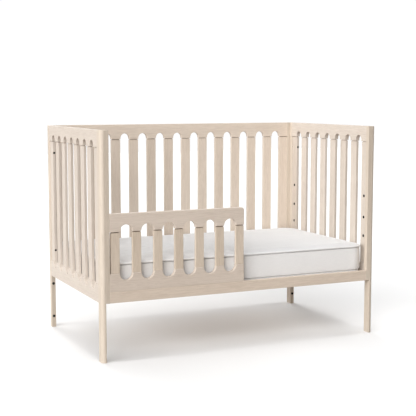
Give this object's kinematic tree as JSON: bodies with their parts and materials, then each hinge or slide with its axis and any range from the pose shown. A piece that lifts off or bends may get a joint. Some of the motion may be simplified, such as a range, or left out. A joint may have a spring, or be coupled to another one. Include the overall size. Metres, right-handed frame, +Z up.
{
  "type": "baby crib",
  "caption": "Slatted wooden crib set up as a toddler bed, with arched gaps between slats, straight legs, a low front rail, a half-length guard rail and a mattress on a height-adjustable deck.",
  "frame": {"origin": "on the floor, at the centre of the crib's length and depth", "axes": "+X to the right along the length, -Y out of the open front, +Z up"},
  "size_m": [1.374, 0.802, 0.996],
  "materials": {
    "pale_wood": "pale washed wood with a matt clear lacquer",
    "beech": "sanded beech",
    "support_steel": "grey powder coat",
    "black_bolt": "black oxide, satin",
    "black_insert": "black oxide, matt",
    "mattress_cover": "white knitted cotton cover",
    "mattress_piping": "woven tape piping"
  },
  "bodies": {
    "frame": {"front_left_leg": "pale_wood", "front_right_leg": "pale_wood", "back_left_leg": "pale_wood", "back_right_leg": "pale_wood", "front_left_cleat": "pale_wood", "front_right_cleat": "pale_wood", "back_left_cleat": "pale_wood", "back_right_cleat": "pale_wood", "left_end_top_rail": "pale_wood", "left_end_bottom_rail": "pale_wood", "left_end_front_stile": "pale_wood", "left_end_back_stile": "pale_wood", "left_end_slats": "pale_wood", "right_end_top_rail": "pale_wood", "right_end_bottom_rail": "pale_wood", "right_end_front_stile": "pale_wood", "right_end_back_stile": "pale_wood", "right_end_slats": "pale_wood", "back_top_rail": "pale_wood", "back_bottom_rail": "pale_wood", "back_slat_1": "pale_wood", "back_slat_2": "pale_wood", "back_slat_3": "pale_wood", "back_slat_4": "pale_wood", "back_slat_5": "pale_wood", "back_slat_6": "pale_wood", "back_slat_7": "pale_wood", "back_slat_8": "pale_wood", "back_slat_9": "pale_wood", "back_slat_10": "pale_wood", "back_slat_11": "pale_wood", "back_slat_12": "pale_wood", "back_slat_13": "pale_wood", "back_slat_14": "pale_wood", "front_rail": "pale_wood", "support_bolts": "black_bolt", "support_inserts": "black_insert", "panel_bolts": "black_bolt", "leg_inserts": "black_insert", "rail_dowels": "beech", "guard_bolts": "black_bolt"},
    "guard_rail": {"guard_top_rail": "pale_wood", "guard_bottom_rail": "pale_wood", "guard_slat_1": "pale_wood", "guard_slat_2": "pale_wood", "guard_slat_3": "pale_wood", "guard_slat_4": "pale_wood", "guard_slat_5": "pale_wood", "guard_slat_6": "pale_wood", "guard_slat_7": "pale_wood", "guard_inserts": "black_insert"},
    "mattress_support": {"support_front_rail": "support_steel", "support_back_rail": "support_steel", "support_left_rail": "support_steel", "support_right_rail": "support_steel", "support_slats": "beech", "support_hangers": "support_steel"},
    "mattress": {"mattress": "mattress_cover", "mattress_piping": "mattress_piping"}
  },
  "joints": [
    {"name": "guard_lift", "type": "slide", "parent": "frame", "child": "guard_rail", "axis": [0, 0, 1], "range_m": [0, 0.1]},
    {"name": "support_height", "type": "slide", "parent": "frame", "child": "mattress_support", "axis": [0, 0, 1], "range_m": [0, 0.391]},
    {"name": "mattress_lift", "type": "slide", "parent": "mattress_support", "child": "mattress", "axis": [0, 0, 1], "range_m": [0, 0.3]}
  ]
}
